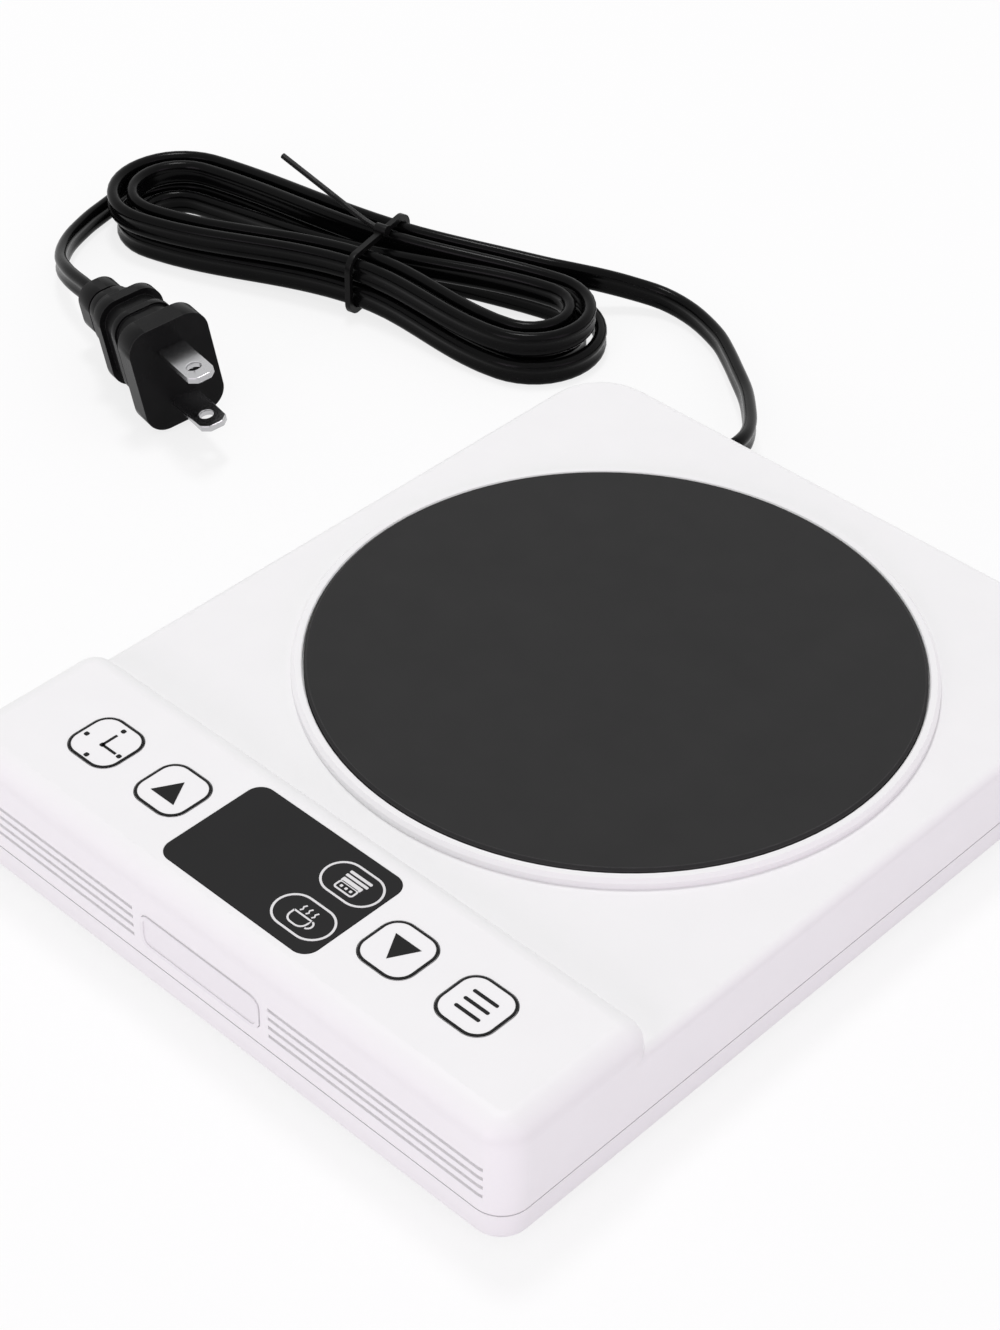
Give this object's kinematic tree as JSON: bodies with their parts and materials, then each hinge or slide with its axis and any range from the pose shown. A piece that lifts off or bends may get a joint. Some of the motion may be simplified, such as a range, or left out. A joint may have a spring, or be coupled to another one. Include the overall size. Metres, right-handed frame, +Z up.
{
  "type": "portable hot plate",
  "caption": "Flat white portable hot plate with a round charcoal plate, a raised key console with a dark display, and a tied-up flat mains cord.",
  "frame": {"origin": "on the table, under the middle of the case", "axes": "+Z up, front with the console towards -Y, +X to the right seen from the front"},
  "size_m": [0.2918, 0.2308, 0.0279],
  "materials": {
    "case_white": "fine satin moulding",
    "ring_white": "satin",
    "key_white": "satin with printed marks",
    "badge_white": "satin",
    "plate_charcoal": "matte heat-proof coating",
    "lens_dark": "smoked, semi-gloss",
    "foot_rubber": "matte",
    "screw_steel": "zinc plated",
    "element_brass": "dull",
    "pad_ceramic": "fibrous",
    "pan_steel": "pressed sheet",
    "sensor_brass": "turned",
    "fuse_ceramic": "matte",
    "module_black": "moulded",
    "board_green": "lacquered board",
    "terminal_green": "moulded",
    "clip_steel": "tinned",
    "fuse_glass": "clear tube",
    "relay_blue": "moulded",
    "transformer_yellow": "taped",
    "capacitor_dark": "sleeved",
    "ribbon_grey": "flat cable",
    "wire_red": "silicone",
    "wire_white": "silicone",
    "clamp_white": "moulded",
    "cord_black": "smooth vinyl",
    "relief_black": "smooth vinyl",
    "tie_black": "coated wire",
    "plug_black": "moulded vinyl",
    "blade_steel": "nickel plated"
  },
  "bodies": {
    "case": {"top_case": "case_white", "bottom_cover": "case_white", "rubber_feet": "foot_rubber", "case_screws": "screw_steel", "plate_ring": "ring_white", "hot_plate": "plate_charcoal", "heating_element": "element_brass", "insulation_pad": "pad_ceramic", "heater_pan": "pan_steel", "heater_screws": "screw_steel", "temperature_sensor": "sensor_brass", "sensor_clip": "pan_steel", "thermal_fuse": "fuse_ceramic", "fuse_clip": "pan_steel", "display_lens": "lens_dark", "display_module": "module_black", "control_board": "board_green", "control_board_screws": "screw_steel", "key_switches": "module_black", "badge_plate": "badge_white", "power_board": "board_green", "power_board_screws": "screw_steel", "terminal_block": "terminal_green", "fuse_holder": "clip_steel", "mains_fuse": "fuse_glass", "relay": "relay_blue", "transformer": "transformer_yellow", "capacitor": "capacitor_dark", "buzzer": "module_black", "ribbon_cable": "ribbon_grey", "heater_wires": "wire_red", "sensor_wires": "wire_white", "inner_cord": "cord_black", "cord_clamp": "clamp_white", "cord_clamp_screws": "screw_steel", "strain_relief": "relief_black", "cord_lead": "cord_black", "cord_hank": "cord_black", "cord_tail": "cord_black", "cord_tie": "tie_black", "plug_body": "plug_black", "plug_blades": "blade_steel"},
    "timer_button": {"timer_key": "key_white", "timer_plunger": "module_black"},
    "up_button": {"up_key": "key_white", "up_plunger": "module_black"},
    "down_button": {"down_key": "key_white", "down_plunger": "module_black"},
    "menu_button": {"menu_key": "key_white", "menu_plunger": "module_black"}
  },
  "joints": [
    {"name": "timer_press", "type": "slide", "parent": "case", "child": "timer_button", "axis": [0, 0, -1], "range_m": [0, 0.0005], "stiffness_N_per_m": 400, "springref_m": -0.001},
    {"name": "up_press", "type": "slide", "parent": "case", "child": "up_button", "axis": [0, 0, -1], "range_m": [0, 0.0005], "stiffness_N_per_m": 400, "springref_m": -0.001},
    {"name": "down_press", "type": "slide", "parent": "case", "child": "down_button", "axis": [0, 0, -1], "range_m": [0, 0.0005], "stiffness_N_per_m": 400, "springref_m": -0.001},
    {"name": "menu_press", "type": "slide", "parent": "case", "child": "menu_button", "axis": [0, 0, -1], "range_m": [0, 0.0005], "stiffness_N_per_m": 400, "springref_m": -0.001}
  ]
}
